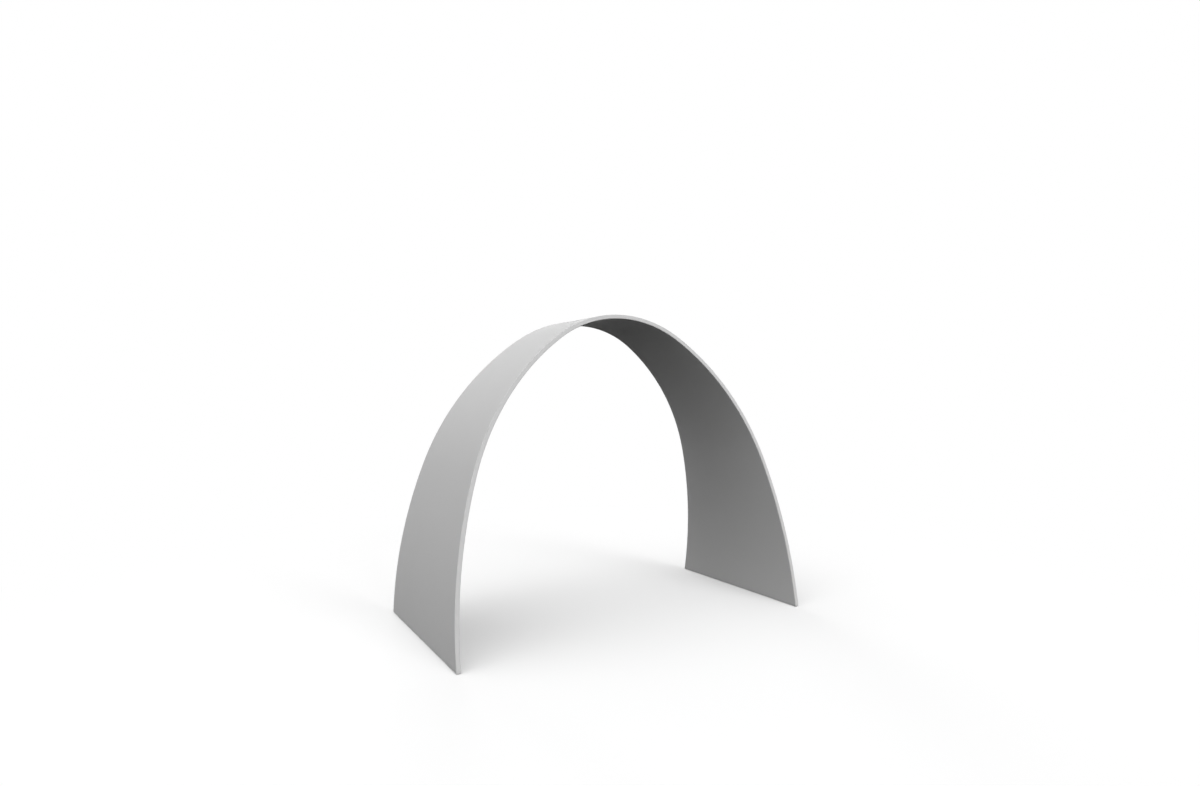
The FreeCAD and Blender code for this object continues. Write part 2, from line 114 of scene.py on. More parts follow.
# Zips: the starts and ends are distances from the slit
ZIP_LOW, ZIP_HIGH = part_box("right_zip")
ZIP_X = (ZIP_LOW.x + ZIP_HIGH.x) / 2
TAPE_START = 0.0013
TAPE_END = 0.0108
TAPE = 0.0004
TOOTH_PITCH = 0.0015
TOOTH_STAGGER_SHARE = 0.25
TOOTH_HEAD = 0.00095
TOOTH_SHANK = 0.0006
TOOTH_HEAD_LENGTH = 0.0007
TOOTH_START = 0.0005
TOOTH_END = 0.0027

# Directions up along the leaning front frame and out of its face
UP = Vector((0, math.sin(LEAN), math.cos(LEAN)))
OUT = Vector((0, -math.cos(LEAN), math.sin(LEAN)))

# Height at which the cloth starts to turn in under the base bars
FOOT_HEIGHT = LIFT + CORNER

# Signs of the two faces, of the two feet and of the cloth's two halves under each foot
FRONT, BACK = 1, -1
SIDES = {"right": 1, "left": -1}
HALVES = {"outer": 1, "inner": -1}


# The outline of the arch

def outline_arcs():
    """Centre and radius of the leg, shoulder and crown arcs of the right half of the outline."""
    leg_x = WIDTH / 2 - LEG_RADIUS
    leg_end_x = leg_x + LEG_RADIUS * math.cos(LEG_END)
    across = math.cos(LEG_END) - (1 - CROWN_RADIUS_SHARE) * math.cos(SHOULDER_END)
    shoulder_radius = leg_end_x / across
    crown_radius = shoulder_radius * CROWN_RADIUS_SHARE
    shoulder_x = leg_end_x - shoulder_radius * math.cos(LEG_END)
    shoulder_q = LEG_CENTRE_HEIGHT + (LEG_RADIUS - shoulder_radius) * math.sin(LEG_END)
    crown_q = shoulder_q + (shoulder_radius - crown_radius) * math.sin(SHOULDER_END)
    return [
        (leg_x, LEG_CENTRE_HEIGHT, LEG_RADIUS),
        (shoulder_x, shoulder_q, shoulder_radius),
        (0, crown_q, crown_radius),
    ]


ARCS = outline_arcs()
FOOT_ANGLE = -math.asin(LEG_CENTRE_HEIGHT / LEG_RADIUS)
SPANS = [(FOOT_ANGLE, LEG_END), (LEG_END, SHOULDER_END), (SHOULDER_END, math.pi / 2)]
LENGTHS = [arc[2] * (end - start) for arc, (start, end) in zip(ARCS, SPANS)]
HALF_LENGTH = sum(LENGTHS)
SHOULDER_BAR = (LENGTHS[0] + LENGTHS[1] * SHOULDER_BAR_SHARE) / (2 * HALF_LENGTH)
BARS = [0, SHOULDER_BAR, 0.5, 1 - SHOULDER_BAR, 1]


def on_outline(distance, inset):
    """Point (x, q) of the outline, moved inwards by inset, at a distance from the right foot."""
    side = 1 if distance <= HALF_LENGTH else -1
    left = distance if side > 0 else 2 * HALF_LENGTH - distance
    place = 0
    while place < len(ARCS) - 1 and left > LENGTHS[place]:
        left -= LENGTHS[place]
        place += 1
    centre_x, centre_q, radius = ARCS[place]
    angle = SPANS[place][0] + left / radius
    reach = radius - inset
    return side * (centre_x + reach * math.cos(angle)), centre_q + reach * math.sin(angle)


def foot_distance(inset, w, height):
    """Distance along the outline at which a plane w outwards from the tubes' centre is at a height."""
    q = (height - (w - EDGE_OFFSET) * math.sin(LEAN)) / math.cos(LEAN)
    angle = math.asin((q - LEG_CENTRE_HEIGHT) / (LEG_RADIUS - inset))
    return LEG_RADIUS * (angle - FOOT_ANGLE)


def cover_point(share, inset, w, face):
    """Point of the cover at a share of the way from the right foot over the crown to the left foot."""
    foot = foot_distance(inset, w, FOOT_HEIGHT)
    x, q = on_outline(foot + 2 * (HALF_LENGTH - foot) * share, inset)
    point = Vector((x, -DEPTH / 2, 0)) + UP * q + OUT * (w - EDGE_OFFSET)
    return point if face == FRONT else Vector((point.x, -point.y, point.z))


def outward(share):
    """Unit vector out of the arch, square to Y, at a share of the outline."""
    a = cover_point(max(share - DIRECTION_STEP, 0), 0, EDGE_OFFSET, FRONT)
    b = cover_point(min(share + DIRECTION_STEP, 1), 0, EDGE_OFFSET, FRONT)
    return Vector((b.z - a.z, 0, a.x - b.x)).normalized()


# Where the bottom edges turn in under the base bars
BASE_OUT = cover_point(0, 0, EDGE_OFFSET, FRONT).x
BASE_IN = cover_point(0, FULL_INSET, EDGE_OFFSET, FRONT).x
BASE_END = cover_point(0, 0, EDGE_OFFSET, BACK).y


# Mesh helpers

def new_piece(name, vertices, faces):
    """Object with a mesh of its own, in the scene."""
    mesh = bpy.data.meshes.new(name)
    mesh.from_pydata([tuple(v) for v in vertices], [], faces)
    piece = bpy.data.objects.new(name, mesh)
    bpy.context.scene.collection.objects.link(piece)
    return piece


def finish_piece(piece, slot, node=None):
    """Names what a piece takes its finish from and stands for, and lets it ride on the arch."""
    piece.data.materials.clear()
    piece.data.materials.append(MATERIALS[slot])
    if node:
        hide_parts(node)
    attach(piece, "arch")
    return piece


def change_mesh(piece, change):
    """Runs one change on a piece's mesh."""
    mesh = bmesh.new()
    mesh.from_mesh(piece.data)
    change(mesh)
    mesh.to_mesh(piece.data)
    mesh.free()


def merge_vertices(mesh):
    """Joins the vertices that fall together."""
    bmesh.ops.remove_doubles(mesh, verts=mesh.verts, dist=MERGE_DISTANCE)


def turn_outwards(mesh):
    """Turns the faces of closed shells outwards."""
    bmesh.ops.recalc_face_normals(mesh, faces=mesh.faces)


def set_uvs(mesh, place):
    """Gives a mesh its fabric coordinates in metres, from a function of the vertex index."""
    layer = mesh.uv_layers.new(name="fabric")
    for loop in mesh.loops:
        layer.data[loop.index].uv = place(loop.vertex_index)


def fabric_coordinates(rows):
    """Along the arch by the middle column, and across by each row's own length."""
    middle = len(rows[0]) // 2
    along = 0.0
    coordinates = []
    for i, row in enumerate(rows):
        if i:
            along += (row[middle] - rows[i - 1][middle]).length
        across = [0.0]
        for a, b in zip(row, row[1:]):
            across.append(across[-1] + (b - a).length)
        coordinates.append([(along, s - across[middle]) for s in across])
    return coordinates


def thicken(piece):
    """Gives a sheet its thickness, and smooth shading with sharp cut edges."""
    modifier = piece.modifiers.new("thickness", "SOLIDIFY")
    modifier.thickness = FABRIC
    modifier.offset = -1
    graph = bpy.context.evaluated_depsgraph_get()
    thick = bpy.data.meshes.new_from_object(piece.evaluated_get(graph))
    piece.modifiers.clear()
    piece.data = thick
    thick.polygons.foreach_set("use_smooth", [True] * len(thick.polygons))
    thick.set_sharp_from_angle(angle=SHARP_ANGLE)


def cloth(name, rows, flip):
    """Sheet of fabric through rows of points, with its thickness behind the side that shows."""
    columns = len(rows[0])
    faces = []
    for i in range(len(rows) - 1):
        for j in range(columns - 1):
            a = i * columns + j
            face = (a, a + 1, a + columns + 1, a + columns)
            faces.append(face[::-1] if flip else face)
    piece = new_piece(name, [p for row in rows for p in row], faces)
    flat = [uv for row in fabric_coordinates(rows) for uv in row]
    set_uvs(piece.data, lambda index: flat[index])
    change_mesh(piece, merge_vertices)
    thicken(piece)
    return piece


def add_prism(vertices, faces, outline, low, high):
    """Adds one flat solid to lists of vertices and faces, from its outline in plan."""
    base = len(vertices)
    count = len(outline)
    vertices += [(x, y, z) for z in (low, high) for x, y in outline]
    faces.append(tuple(base + i for i in range(count)))
    faces.append(tuple(base + count + i for i in range(count)))
    for i in range(count):
        after = (i + 1) % count
        faces.append((base + i, base + after, base + count + after, base + count + i))


def plate(name, outline, low, high):
    """Flat sheet with a thickness, from its outline in plan."""
    vertices, faces = [], []
    add_prism(vertices, faces, outline, low, high)
    piece = new_piece(name, vertices, faces)
    set_uvs(piece.data, lambda index: (vertices[index][1], vertices[index][0]))
    change_mesh(piece, turn_outwards)
    return piece


def rounded(start, corner, end):
    """Points of a quadratic curve round a corner, both ends included."""
    points = []
    for i in range(ROUND_STEPS + 1):
        t = i / ROUND_STEPS
        points.append(start * (1 - t) ** 2 + corner * 2 * t * (1 - t) + end * t ** 2)
    return points


def straight(start, end, steps):
    """Points between two ends, both left out."""
    return [start.lerp(end, i / steps) for i in range(1, steps)]


# The cover's panels and edge bands

def turned_under(row):
    """Rows that carry a foot row round the bottom edge, flat under the base bar and up into the seam."""
    side = math.copysign(1, row[0].x)

    def drawn_in(p, distance):
        x = min(max(abs(p.x), BASE_IN + distance), BASE_OUT - distance)
        y = min(max(p.y, distance - BASE_END), BASE_END - distance)
        return Vector((side * x, y, p.z))

    rows = []
    for i in range(1, ROUND_STEPS + 1):
        a = math.pi / 2 * i / ROUND_STEPS
        drop = Vector((0, 0, CORNER * math.sin(a)))
        rows.append([p.lerp(drawn_in(p, CORNER), 1 - math.cos(a)) - drop for p in row])
    rise = Vector((0, 0, SEAM_TUCK - CORNER))
    rows.append([drawn_in(p, CORNER + SEAM_HALF) + rise for p in row])
    return rows


def with_feet(rows):
    """Rows of a piece of the cover, with its two bottom edges."""
    return turned_under(rows[0])[::-1] + rows + turned_under(rows[-1])


def sag(share, across, amount):
    """How far the taut cloth is drawn into the passage between two bars."""
    for low, high in zip(BARS, BARS[1:]):
        if share <= high:
            between = math.sin(math.pi * (share - low) / (high - low)) ** 2
            return amount * between * math.sin(math.pi * across) ** SAG_POWER


def panel_rows(half_row, amount):
    """Rows of a panel, from the right base bar over the crown to the left one."""
    rows = []
    for i in range(STATIONS + 1):
        share = i / STATIONS
        front, back = half_row(share, FRONT), half_row(share, BACK)
        row = straight(front[-1], back[-1], DEPTH_STEPS)
        inward = outward(share) * -1
        row = [p + inward * sag(share, (j + 1) / DEPTH_STEPS, amount) for j, p in enumerate(row)]
        rows.append(front + row + back[::-1])
    return with_feet(rows)


def outer_half(share, face):
    """One end of an outer row: from the seam on the edge's face, round the outer corner."""
    def point(inset, w):
        return cover_point(share, inset, w, face)
    corner = point(0, EDGE_OFFSET)
    tuck = point(CORNER + SEAM_HALF, EDGE_OFFSET - SEAM_TUCK)
    return [tuck] + rounded(point(CORNER, EDGE_OFFSET), corner, corner + Vector((0, face * CORNER, 0)))


def inner_half(share, face):
    """One end of an inner row: from the seam, along the tube's inner face, then off to the other frame."""
    def point(inset, w):
        return cover_point(share, inset, w, face)
    tuck = point(FULL_INSET - CORNER - SEAM_HALF, EDGE_OFFSET - SEAM_TUCK)
    first = rounded(point(FULL_INSET - CORNER, EDGE_OFFSET), point(FULL_INSET, EDGE_OFFSET),
                    point(FULL_INSET, EDGE_OFFSET - CORNER))
    bend = point(FULL_INSET, -TUBE / 2)
    second = rounded(point(FULL_INSET, CORNER - TUBE / 2), bend, bend + Vector((0, face * CORNER, 0)))
    return [tuck] + first + straight(first[-1], second[0], ROUND_STEPS) + second


def band_row(share, face):
    """Row of an edge band, from seam to seam."""
    def point(inset, w):
        return cover_point(share, inset, w, face)
    low = CORNER + 2 * SEAM_HALF
    high = FULL_INSET - low
    start, end = point(low, EDGE_OFFSET), point(high, EDGE_OFFSET)
    first = point(low - SEAM_HALF, EDGE_OFFSET - SEAM_TUCK)
    last = point(high + SEAM_HALF, EDGE_OFFSET - SEAM_TUCK)
    return [first, start] + straight(start, end, ROUND_STEPS) + [end, last]


def band_rows(face):
    """Rows of the flat edge band on one face of the arch."""
    return with_feet([band_row(i / STATIONS, face) for i in range(STATIONS + 1)])


def add_cover():
    """The two panels and the two edge bands."""
    outer = cloth("outer_panel", panel_rows(outer_half, OUTER_SAG), False)
    inner = cloth("inner_panel", panel_rows(inner_half, INNER_SAG), True)
    front = cloth("front_edge_band", band_rows(FRONT), True)
    back = cloth("back_edge_band", band_rows(BACK), False)
    finish_piece(outer, "cover_fabric", "cover_outer")
    finish_piece(inner, "cover_fabric", "cover_inner")
    finish_piece(front, "cover_fabric", "cover_front_edge")
    finish_piece(back, "cover_fabric", "cover_back_edge")
    return outer, inner, front, back


# Stitches

def stitches_along(points):
    """Ends of the stitches of a row along a line of points."""
    pairs = []
    gone = 0.0
    due = STITCH_PITCH
    for a, b in zip(points, points[1:]):
        step = (b - a).length
        run = (b - a) / step
        while due <= gone + step:
            start = a + run * (due - gone)
            pairs.append((start, start + run * STITCH_LENGTH))
            due += STITCH_PITCH
        gone += step
    return pairs


def add_stitches(name, pairs):
    """One piece of many short threads that lie in the cloth, each pointed at both ends."""
    vertices, faces = [], []
    for start, end in pairs:
        run = (end - start).normalized()
        side = run.orthogonal().normalized()
        other = run.cross(side)
        base = len(vertices)
        vertices.append(start)
        for along in (STITCH_TAPER_SHARE, 1 - STITCH_TAPER_SHARE):
            for k in range(STITCH_SIDES):
                a = 2 * math.pi * k / STITCH_SIDES
                spoke = side * math.cos(a) + other * math.sin(a)
                vertices.append(start.lerp(end, along) + spoke * STITCH_RADIUS)
        vertices.append(end)
        last = base + 2 * STITCH_SIDES + 1
        for k in range(STITCH_SIDES):
            a, b = base + 1 + k, base + 1 + (k + 1) % STITCH_SIDES
            faces.append((base, b, a))
            faces.append((a, b, b + STITCH_SIDES, a + STITCH_SIDES))
            faces.append((a + STITCH_SIDES, b + STITCH_SIDES, last))
    piece = new_piece(name, vertices, faces)
    piece.data.polygons.foreach_set("use_smooth", [True] * len(faces))
    set_uvs(piece.data, lambda index: (vertices[index].y, vertices[index].z))
    return piece


def edge_stitches():
    """A row behind each edge of both panels."""
    pairs = []
    for face in (FRONT, BACK):
        outer, inner = [], []
        behind = Vector((0, face * STITCH_INSET, 0))
        for i in range(2 * STATIONS + 1):
            share = i / (2 * STATIONS)
            outer.append(cover_point(share, STITCH_SINK, EDGE_OFFSET, face) + behind)
            inner.append(cover_point(share, FULL_INSET - STITCH_SINK, EDGE_OFFSET - STITCH_INSET, face))
        pairs += stitches_along(outer) + stitches_along(inner)
    return pairs


# Under the base bars

def flap_outline(side, half):
    """Outline in plan of the flap that one panel turns in. The half is 1 outer and -1 inner."""
    far = (BASE_OUT - ZIP_X if half > 0 else ZIP_X - BASE_IN) - CORNER - 2 * SEAM_HALF
    end = BASE_END - CORNER - 2 * SEAM_HALF
    near = SEAM_HALF
    zip_end = ZIP_HIGH.y
    shape = [(far, -end), (near, -end)]
    for i in range(EYELET_STEPS + 1):
        a = math.pi * i / EYELET_STEPS
        shape.append((near + EYELET * math.sin(a), -FOOT_Y - EYELET * math.cos(a)))
    shape += [(near, -zip_end), (WINDOW_HALF, -zip_end)]
    shape += [(x, -y) for x, y in shape[::-1]]
    return [(side * (ZIP_X + half * x), y) for x, y in shape]


def add_flaps():
    """Four flaps round the zips and the glides' bosses, each with its outline in plan."""
    flaps = []
    for side_name, side in SIDES.items():
        for half_name, half in HALVES.items():
            outline = flap_outline(side, half)
            flap = plate(side_name + "_" + half_name + "_flap", outline, LIFT, LIFT + FABRIC)
            finish_piece(flap, "cover_fabric", "cover_" + half_name)
            flaps.append((flap, outline))
    return flaps


def base_stitches():
    """Rows along both zips, and the overcast edges of the four eyelets."""
    pairs = []
    under = LIFT + STITCH_SINK
    for side in SIDES.values():
        for half in HALVES.values():
            x = side * (ZIP_X + half * (WINDOW_HALF + WINDOW_HEM))
            row = [Vector((x, y, under)) for y in (ZIP_LOW.y, ZIP_HIGH.y)]
            pairs += stitches_along(row)
        for end in (1, -1):
            centre = Vector((side * FOOT_X, end * FOOT_Y, under))
            for k in range(EYELET_STITCHES):
                a = 2 * math.pi * (k + 0.5) / EYELET_STITCHES
                spoke = Vector((math.cos(a), math.sin(a), 0))
                pairs.append((centre + spoke * EYELET, centre + spoke * (EYELET + EYELET_STITCH)))
    return pairs


def tooth_outline():
    """Outline in plan of one zip tooth that points at the slit, as (across, along)."""
    neck = TOOTH_START + TOOTH_HEAD_LENGTH
    head, shank = TOOTH_HEAD / 2, TOOTH_SHANK / 2
    bevel = head / 2
    return [
        (TOOTH_START, -bevel), (TOOTH_START + bevel, -head), (neck, -shank), (TOOTH_END, -shank),
        (TOOTH_END, shank), (neck, shank), (TOOTH_START + bevel, head), (TOOTH_START, bevel),
    ]


def add_tapes(side, name):
    """The two woven tapes of one zip."""
    low = LIFT + FABRIC
    for half_name, half in HALVES.items():
        near, far = side * (ZIP_X + half * TAPE_START), side * (ZIP_X + half * TAPE_END)
        strip = [(near, ZIP_LOW.y), (far, ZIP_LOW.y), (far, ZIP_HIGH.y), (near, ZIP_HIGH.y)]
        tape = plate(name + "_" + half_name + "_tape", strip, low, low + TAPE)
        finish_piece(tape, "zip_tape", name)


def add_teeth(side, name):
    """The two rows of teeth of one zip, which mesh along the slit."""
    shape = tooth_outline()
    vertices, faces = [], []
    for k in range(int((ZIP_HIGH.y - ZIP_LOW.y) / TOOTH_PITCH)):
        for half in HALVES.values():
            start = ZIP_LOW.y + TOOTH_PITCH * (k + 0.5 - half * TOOTH_STAGGER_SHARE)
            outline = [(side * (ZIP_X + half * across), start + along) for across, along in shape]
            add_prism(vertices, faces, outline, ZIP_LOW.z, ZIP_HIGH.z)
    teeth = new_piece(name + "_teeth", vertices, faces)
    change_mesh(teeth, turn_outwards)
    finish_piece(teeth, "zip_metal", name)


def add_zips():
    """Woven tapes with their teeth, in place of the two plain zips."""
    for side_name, side in SIDES.items():
        add_tapes(side, side_name + "_zip")
        add_teeth(side, side_name + "_zip")


# The leaf springs behind the snap buttons

def add_spring(node, joint, polygons):
    """One button's leaf spring, cut out of the node that holds them all."""
    source = frame["nodes"][node].data
    used = sorted({i for polygon in polygons for i in polygon.vertices})
    renamed = {old: new for new, old in enumerate(used)}
    vertices = [source.vertices[i].co.copy() for i in used]
    faces = [tuple(renamed[i] for i in polygon.vertices) for polygon in polygons]
    spring = finish_piece(new_piece(joint["child"] + "_spring", vertices, faces), "spring_steel", node)
    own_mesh(spring)


def add_springs():
    """Shares the springs' faces out among the buttons, each to the nearest."""
    buttons = {}
    for joint in frame["record"]["behaviour"]["joints"]:
        for held in joint.get("deforming_nodes", []):
            low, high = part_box(joint["child"])
            buttons.setdefault(held["node"], []).append(((low + high) / 2, joint, []))
    for node, places in buttons.items():
        for polygon in frame["nodes"][node].data.polygons:
            nearest = min(places, key=lambda place: (place[0] - polygon.center).length)
            nearest[2].append(polygon)
        for _, joint, polygons in places:
            add_spring(node, joint, polygons)


# Shader helpers

# Places of the factor, the two colours and the result among the sockets of a mix node
MIX_FACTOR, MIX_FIRST, MIX_SECOND, MIX_RESULT = 0, 6, 7, 2


def new_material(name):
    """Material with its nodes, its links and its main shader."""
    material = bpy.data.materials.new(name)
    material.use_nodes = True
    tree = material.node_tree
    return material, tree.nodes, tree.links, tree.nodes["Principled BSDF"]


def add_node(nodes, kind, **values):
    """New shader node with some of its inputs set by name."""
    made = nodes.new(kind)
    for key, value in values.items():
        made.inputs[key].default_value = value
    return made


def mixed(nodes, links, source, low, high):
    """Colour between two tones, by a factor."""
    mix = nodes.new("ShaderNodeMix")
    mix.data_type = "RGBA"
    mix.inputs[MIX_FIRST].default_value = (*low, 1)
    mix.inputs[MIX_SECOND].default_value = (*high, 1)
    links.new(source, mix.inputs[MIX_FACTOR])
    return mix.outputs[MIX_RESULT]


def multiplied(nodes, links, first, second):
    """Product of two colours."""
    mix = nodes.new("ShaderNodeMix")
    mix.data_type = "RGBA"
    mix.blend_type = "MULTIPLY"
    mix.inputs[MIX_FACTOR].default_value = 1.0
    links.new(first, mix.inputs[MIX_FIRST])
    links.new(second, mix.inputs[MIX_SECOND])
    return mix.outputs[MIX_RESULT]


def math_node(nodes, links, operation, a, b):
    """Arithmetic on two sockets, or on a socket and a number."""
    made = nodes.new("ShaderNodeMath")
    made.operation = operation
    links.new(a, made.inputs[0])
    if isinstance(b, (int, float)):
        made.inputs[1].default_value = b
    else:
        links.new(b, made.inputs[1])
    return made.outputs[0]


def ranged(nodes, links, source, low, high):
    """Value stretched from 0..1 to low..high."""
    made = add_node(nodes, "ShaderNodeMapRange")
    made.inputs["To Min"].default_value = low
    made.inputs["To Max"].default_value = high
    links.new(source, made.inputs["Value"])
    return made.outputs["Result"]


def bumped(nodes, links, shader, height, strength, distance):
    """Gives a shader its relief, from a height."""
    bump = add_node(nodes, "ShaderNodeBump", Strength=strength, Distance=distance)
    links.new(height, bump.inputs["Height"])
    links.new(bump.outputs["Normal"], shader.inputs["Normal"])


def darker(tone, share):
    """Tone at a share of its brightness."""
    return tuple(c * share for c in tone)


# Fabric. Its loops are one pitch apart along the arch (X) and closer by a rate across it (Y). A wave texture
# turns through WAVE_RADIANS in one unit.
FABRIC_TONE = (0.63, 0.63, 0.63)
KNIT_PITCH = 0.0011
KNIT_RATES = {"X": 1.0, "Y": 1.35}
WAVE_RADIANS = 20
KNIT_DEPTH = 0.0002
KNIT_STRENGTH = 0.35
# Painted shade: the gaps between the knit's loops are coloured a little darker than the threads.
PAINTED_GAP_SHADE = (0.95, 0.95, 0.95)
THREAD_TONE = (1.0, 1.0, 1.0)
FUZZ_SCALE = 420.0
FUZZ_SHARE = 0.35
PATCH_SCALE = 2.2
PATCH_SHARE = 0.975
FABRIC_GLOSS = (0.78, 0.92)
FABRIC_SPECULAR = 0.15
SHEEN = 0.08
SHEEN_ROUGHNESS = 0.5


def fabric_material(name):
    """Matt knitted polyester: loops along and across the cut, fuzz, slightly uneven whiteness, and painted
    shade in the gaps between the loops.
    """
    material, nodes, links, shader = new_material(name)
    uv = nodes.new("ShaderNodeUVMap")
    uv.uv_map = "fabric"
    place = nodes.new("ShaderNodeTexCoord")
    waves = []
    for direction, rate in KNIT_RATES.items():
        scale = rate * 2 * math.pi / (WAVE_RADIANS * KNIT_PITCH)
        wave = add_node(nodes, "ShaderNodeTexWave", Scale=scale)
        wave.bands_direction = direction
        links.new(uv.outputs["UV"], wave.inputs["Vector"])
        waves.append(wave.outputs["Fac"])
    loops = math_node(nodes, links, "MULTIPLY", waves[0], waves[1])
    fuzz = add_node(nodes, "ShaderNodeTexNoise", Scale=FUZZ_SCALE, Detail=3.0, Roughness=0.6)
    links.new(place.outputs["Object"], fuzz.inputs["Vector"])
    soft = math_node(nodes, links, "MULTIPLY", fuzz.outputs["Fac"], FUZZ_SHARE)
    height = math_node(nodes, links, "ADD", loops, soft)
    bumped(nodes, links, shader, height, KNIT_STRENGTH, KNIT_DEPTH)
    patches = add_node(nodes, "ShaderNodeTexNoise", Scale=PATCH_SCALE, Detail=4.0, Roughness=0.55)
    links.new(place.outputs["Object"], patches.inputs["Vector"])
    low = darker(FABRIC_TONE, PATCH_SHARE)
    whiteness = mixed(nodes, links, patches.outputs["Fac"], low, FABRIC_TONE)
    # Painted shade: the colour darkens where the loops' relief dips into the gaps between them.
    threads = mixed(nodes, links, loops, PAINTED_GAP_SHADE, THREAD_TONE)
    links.new(multiplied(nodes, links, whiteness, threads), shader.inputs["Base Color"])
    links.new(ranged(nodes, links, fuzz.outputs["Fac"], *FABRIC_GLOSS), shader.inputs["Roughness"])
    shader.inputs["Specular IOR Level"].default_value = FABRIC_SPECULAR
    shader.inputs["Sheen Weight"].default_value = SHEEN
    shader.inputs["Sheen Roughness"].default_value = SHEEN_ROUGHNESS
    return material


# Metals, each with its tone, roughness, scale of the grain and share of metal
METALS = {
    "tube_aluminium": ((0.52, 0.53, 0.55), 0.4, 90.0, 1.0),
    "joiner_aluminium": ((0.48, 0.49, 0.51), 0.44, 120.0, 1.0),
    "elbow_casting": ((0.4, 0.41, 0.43), 0.58, 260.0, 1.0),
    "rivet_aluminium": ((0.54, 0.55, 0.56), 0.36, 300.0, 1.0),
    "button_steel": ((0.5, 0.5, 0.51), 0.26, 400.0, 1.0),
    "spring_steel": ((0.34, 0.35, 0.38), 0.4, 300.0, 1.0),
    "screw_steel": ((0.46, 0.46, 0.48), 0.33, 300.0, 1.0),
    "zip_metal": ((0.68, 0.68, 0.68), 0.4, 500.0, 0.3),
}
METAL_DARK_SHARE = 0.88
METAL_GLOSS_SPREAD = 0.2
METAL_STRENGTH = 0.15
METAL_GRAIN_DEPTH = 0.00005


def metal_material(name, tone, roughness, grain, metallic):
    """Metal with a fine grain and a little uneven gloss."""
    material, nodes, links, shader = new_material(name)
    place = nodes.new("ShaderNodeTexCoord")
    lines = add_node(nodes, "ShaderNodeTexNoise", Scale=grain, Detail=5.0, Roughness=0.65)
    links.new(place.outputs["Object"], lines.inputs["Vector"])
    factor = lines.outputs["Fac"]
    low = darker(tone, METAL_DARK_SHARE)
    links.new(mixed(nodes, links, factor, low, tone), shader.inputs["Base Color"])
    smooth, rough = roughness * (1 - METAL_GLOSS_SPREAD), roughness * (1 + METAL_GLOSS_SPREAD)
    links.new(ranged(nodes, links, factor, smooth, rough), shader.inputs["Roughness"])
    bumped(nodes, links, shader, factor, METAL_STRENGTH, METAL_GRAIN_DEPTH)
    shader.inputs["Metallic"].default_value = metallic
    return material


# Plastics, each with its tone, roughness and scale of the texture
PLASTICS = {
    "glide_nylon": ((0.74, 0.74, 0.73), 0.55, 500.0),
    "zip_tape": ((0.68, 0.68, 0.68), 0.8, 900.0),
}
PLASTIC_DARK_SHARE = 0.94
PLASTIC_STRENGTH = 0.2
PLASTIC_GRAIN_DEPTH = 0.0001


def plastic_material(name, tone, roughness, grain):
    """Moulded or woven plastic with a fine even texture."""
    material, nodes, links, shader = new_material(name)
    place = nodes.new("ShaderNodeTexCoord")
    texture = add_node(nodes, "ShaderNodeTexNoise", Scale=grain, Detail=4.0, Roughness=0.6)
    links.new(place.outputs["Object"], texture.inputs["Vector"])
    factor = texture.outputs["Fac"]
    low = darker(tone, PLASTIC_DARK_SHARE)
    links.new(mixed(nodes, links, factor, low, tone), shader.inputs["Base Color"])
    bumped(nodes, links, shader, factor, PLASTIC_STRENGTH, PLASTIC_GRAIN_DEPTH)
    shader.inputs["Roughness"].default_value = roughness
    return material


def all_materials():
    """One material for each slot of the part."""
    materials = {"cover_fabric": fabric_material("cover_fabric")}
    for name, look in METALS.items():
        materials[name] = metal_material(name, *look)
    for name, look in PLASTICS.items():
        materials[name] = plastic_material(name, *look)
    return materials


def dress_nodes():
    """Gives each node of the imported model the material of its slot."""
    for row in frame["record"]["subparts"]:
        node = frame["nodes"][row["node"]]
        node.data.materials.clear()
        node.data.materials.append(MATERIALS[row["material_slot"]])


MATERIALS = all_materials()
dress_nodes()
outer_panel, inner_panel, front_band, back_band = add_cover()
flaps = add_flaps()
threads = finish_piece(add_stitches("edge_stitching", edge_stitches()), "cover_fabric")
finish_piece(add_stitches("base_stitching", base_stitches()), "cover_fabric")
add_zips()
add_springs()


# Stage

WHITE = (1, 1, 1, 1)
SKY_LEVEL = 0.4
BACKDROP_LEVEL = 1.0

# The floor fades into the backdrop between two distances from the arch's centre.
FLOOR_RADIUS = 40.0
FLOOR_SIDES = 96
FLOOR_TONE = (0.8, 0.8, 0.8, 1)
FLOOR_BOUNCE = (0.03, 0.03, 0.03, 1)
FLOOR_GLOW = 0.16
FADE_START = 2.2
FADE_END = 5.5

# Each light's strength, its width in the sky and its turn, both in degrees
LIGHTS = {
    "key_light": (0.96, 60, (0, -20, 0)),
    "front_light": (1.01, 30, (72, 0, 8)),
    "fill_light": (1.67, 120, (75, 0, -30)),
    "back_light": (0.7, 30, (-72, 0, -8)),
}

# The camera stands to the left of the front, a little above a person's eyes, and looks level.
SENSOR_WIDTH = 36
FOCAL_LENGTH = 22.0
CAMERA_PLACE = (-3.0617, -5.2854, 1.8023)
CAMERA_TURN = (90, 0, -30.19)


def seen_by_eye(nodes, links):
    """1 for camera, glossy and transmission rays, and 0 for the light that falls on the arch."""
    path = nodes.new("ShaderNodeLightPath")
    first = math_node(nodes, links, "MAXIMUM", path.outputs["Is Camera Ray"], path.outputs["Is Glossy Ray"])
    return math_node(nodes, links, "MAXIMUM", first, path.outputs["Is Transmission Ray"])


def mix_shader(nodes, links, factor, first, second):
    """Shader between two others, by a factor."""
    made = nodes.new("ShaderNodeMixShader")
    for socket, source in zip(made.inputs, (factor, first.outputs[0], second.outputs[0])):
        links.new(source, socket)
    return made


def distance_fade(nodes, links):
    """0 near the arch and 1 far from it."""
    place = nodes.new("ShaderNodeTexCoord")
    distance = nodes.new("ShaderNodeVectorMath")
    distance.operation = "LENGTH"
    links.new(place.outputs["Object"], distance.inputs[0])
    fade = add_node(nodes, "ShaderNodeMapRange")
    fade.interpolation_type = "SMOOTHSTEP"
    fade.inputs["From Min"].default_value = FADE_START
    fade.inputs["From Max"].default_value = FADE_END
    links.new(distance.outputs["Value"], fade.inputs["Value"])
    return fade.outputs["Result"]


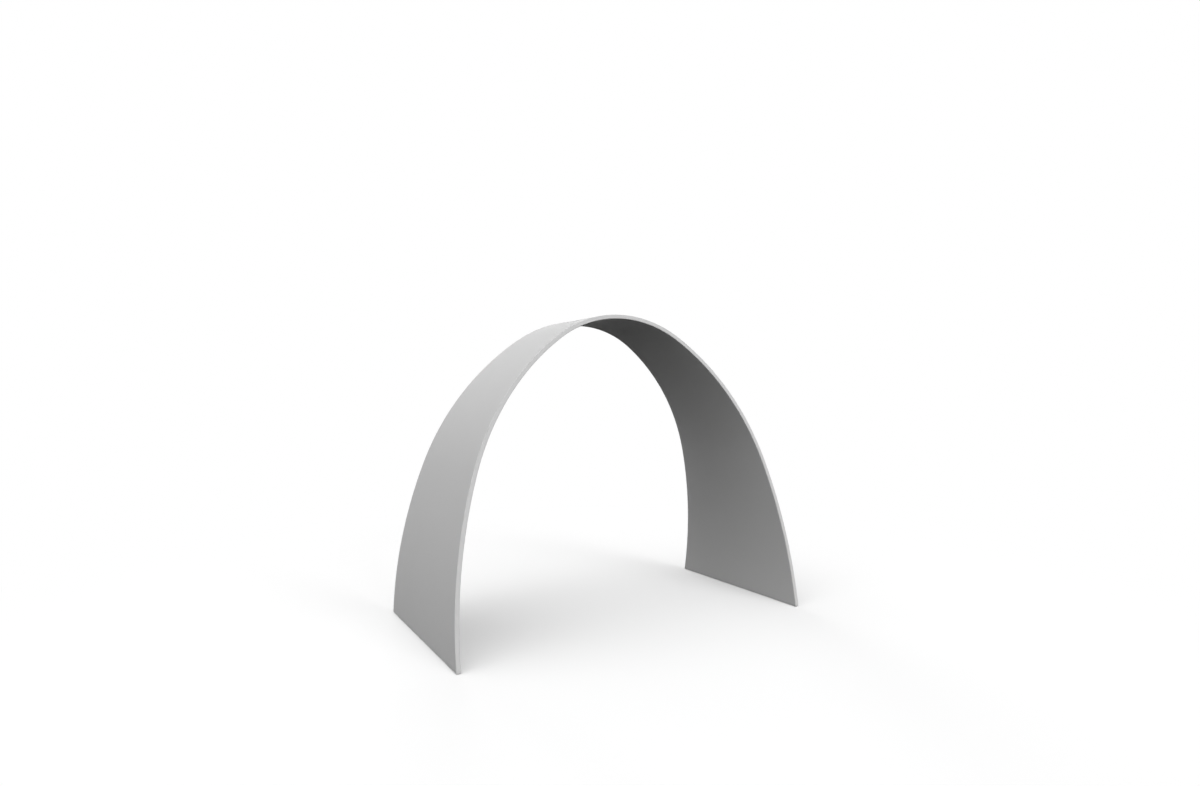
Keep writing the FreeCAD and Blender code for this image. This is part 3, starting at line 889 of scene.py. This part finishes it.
def add_floor():
    """Pale floor that fades into the white backdrop and sends hardly any light back up."""
    bpy.ops.mesh.primitive_circle_add(vertices=FLOOR_SIDES, radius=FLOOR_RADIUS, fill_type="NGON")
    floor = bpy.context.object
    floor.name = "floor"
    material, nodes, links, shader = new_material("floor")
    nodes.remove(shader)
    dark = add_node(nodes, "ShaderNodeBsdfDiffuse", Color=FLOOR_BOUNCE)
    pale = add_node(nodes, "ShaderNodeBsdfDiffuse", Color=FLOOR_TONE)
    glow = add_node(nodes, "ShaderNodeEmission", Color=WHITE, Strength=FLOOR_GLOW)
    near = nodes.new("ShaderNodeAddShader")
    links.new(pale.outputs[0], near.inputs[0])
    links.new(glow.outputs[0], near.inputs[1])
    far = add_node(nodes, "ShaderNodeEmission", Color=WHITE, Strength=BACKDROP_LEVEL)
    faded = mix_shader(nodes, links, distance_fade(nodes, links), near, far)
    chosen = mix_shader(nodes, links, seen_by_eye(nodes, links), dark, faded)
    links.new(chosen.outputs[0], nodes["Material Output"].inputs["Surface"])
    floor.data.materials.append(material)


def add_world():
    """Even sky that lights the arch, and a pure white backdrop."""
    world = bpy.data.worlds.new("studio")
    bpy.context.scene.world = world
    world.use_nodes = True
    nodes, links = world.node_tree.nodes, world.node_tree.links
    nodes.clear()
    output = nodes.new("ShaderNodeOutputWorld")
    sky = add_node(nodes, "ShaderNodeBackground", Color=WHITE, Strength=SKY_LEVEL)
    white = add_node(nodes, "ShaderNodeBackground", Color=WHITE, Strength=BACKDROP_LEVEL)
    chosen = mix_shader(nodes, links, seen_by_eye(nodes, links), sky, white)
    links.new(chosen.outputs[0], output.inputs["Surface"])


def add_light(name, strength, width, turn):
    """Broad soft light from far away."""
    light = bpy.data.lights.new(name, "SUN")
    light.energy = strength
    light.angle = math.radians(width)
    lamp = bpy.data.objects.new(name, light)
    bpy.context.scene.collection.objects.link(lamp)
    lamp.rotation_euler = [math.radians(a) for a in turn]


def add_camera():
    """The photo's camera."""
    camera = bpy.data.cameras.new("camera")
    camera.sensor_width = SENSOR_WIDTH
    camera.lens = FOCAL_LENGTH
    holder = bpy.data.objects.new("camera", camera)
    bpy.context.scene.collection.objects.link(holder)
    holder.location = CAMERA_PLACE
    holder.rotation_euler = [math.radians(a) for a in CAMERA_TURN]
    bpy.context.scene.camera = holder


add_floor()
add_world()
for light_name, (strength, width, turn) in LIGHTS.items():
    add_light(light_name, strength, width, turn)
add_camera()
bpy.context.scene.view_settings.view_transform = "Standard"
